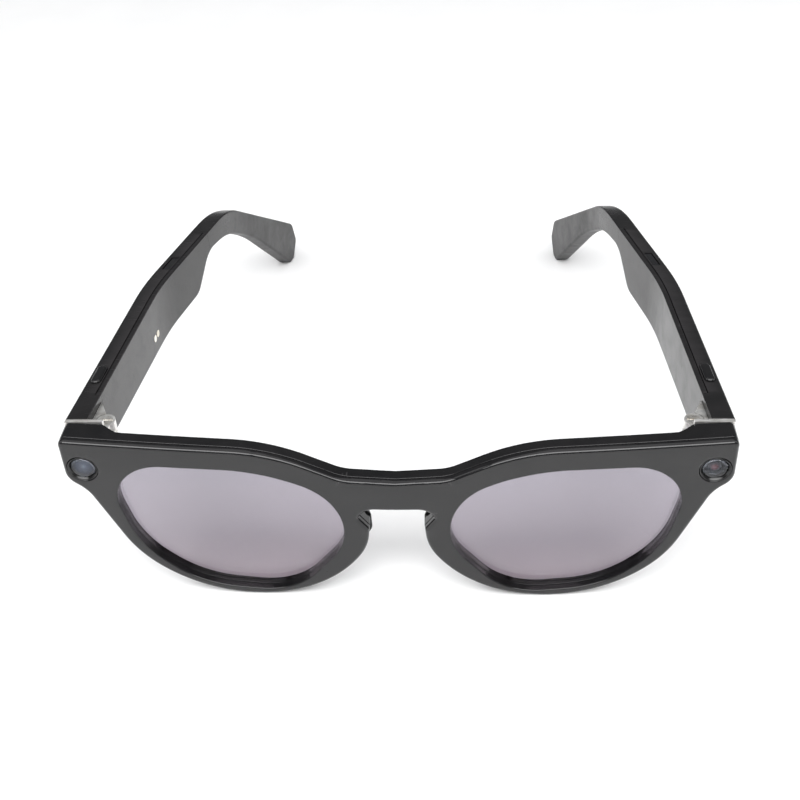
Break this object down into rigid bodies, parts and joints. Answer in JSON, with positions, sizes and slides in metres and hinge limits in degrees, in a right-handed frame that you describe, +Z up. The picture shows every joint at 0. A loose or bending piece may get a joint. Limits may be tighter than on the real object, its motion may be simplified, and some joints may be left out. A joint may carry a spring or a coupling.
{
  "type": "smart glasses",
  "caption": "Black smart glasses with round tinted lenses, a camera and an indicator light in the endpieces, and folding temples with buttons on top.",
  "frame": {"origin": "on the table, under the middle of the open glasses' box", "axes": "+X to the wearer's left, -Y the way the wearer looks, +Z up"},
  "size_m": [0.1452, 0.1662, 0.0473],
  "materials": {
    "acetate": "polished black acetate",
    "inner_cover": "polished black, slightly warmer",
    "lens_tint": "light violet grey tint",
    "bezel_gloss": "mirror black",
    "camera_glass": "dark coated glass",
    "light_glass": "blue grey glass",
    "inner_plastic": "moulded",
    "flex": "amber film",
    "hinge_metal": "fine brushed",
    "foil": "foil",
    "circuit_board": "solder mask",
    "grille_metal": "satin black",
    "dark_window": "satin",
    "contact_metal": "polished plating"
  },
  "bodies": {
    "front": {"front_shell": "acetate", "rear_shell": "acetate", "lens_left": "lens_tint", "lens_right": "lens_tint", "nose_pad_left": "acetate", "nose_pad_right": "acetate", "camera_bezel": "bezel_gloss", "camera_glass": "camera_glass", "camera_module": "inner_plastic", "light_bezel": "bezel_gloss", "light_glass": "light_glass", "light_module": "inner_plastic", "front_flex": "flex", "front_hinge_left": "hinge_metal", "front_hinge_right": "hinge_metal", "hinge_pins": "hinge_metal", "hinge_plate_screws": "hinge_metal"},
    "left_temple": {"left_temple_shell": "acetate", "left_temple_cover": "inner_cover", "left_temple_hinge": "hinge_metal", "left_hinge_screws": "hinge_metal", "left_battery": "foil", "left_board": "circuit_board", "left_speaker": "inner_plastic", "left_speaker_grille": "grille_metal", "left_microphone": "foil", "left_switch": "inner_plastic", "left_top_window": "dark_window"},
    "right_temple": {"right_temple_shell": "acetate", "right_temple_cover": "inner_cover", "right_temple_hinge": "hinge_metal", "right_hinge_screws": "hinge_metal", "right_battery": "foil", "right_board": "circuit_board", "right_speaker": "inner_plastic", "right_speaker_grille": "grille_metal", "right_microphone": "foil", "right_switch": "inner_plastic", "right_top_window": "dark_window", "charging_contacts": "contact_metal"},
    "left_button": {"left_button": "acetate"},
    "right_button": {"right_button": "acetate"}
  },
  "joints": [
    {"name": "left_hinge", "type": "hinge", "parent": "front", "child": "left_temple", "pos_m": [0.0643, -0.07067, 0.0396], "axis": [0, 0, 1], "range_deg": [0, 83]},
    {"name": "right_hinge", "type": "hinge", "parent": "front", "child": "right_temple", "pos_m": [-0.0643, -0.07067, 0.0396], "axis": [0, 0, 1], "range_deg": [-74, 0]},
    {"name": "left_button_press", "type": "slide", "parent": "left_temple", "child": "left_button", "axis": [0, 0, -1], "range_m": [0, 0.0005], "stiffness_N_per_m": 2000, "springref_m": -0.0003},
    {"name": "right_button_press", "type": "slide", "parent": "right_temple", "child": "right_button", "axis": [0, 0, -1], "range_m": [0, 0.0005], "stiffness_N_per_m": 2000, "springref_m": -0.0003}
  ]
}
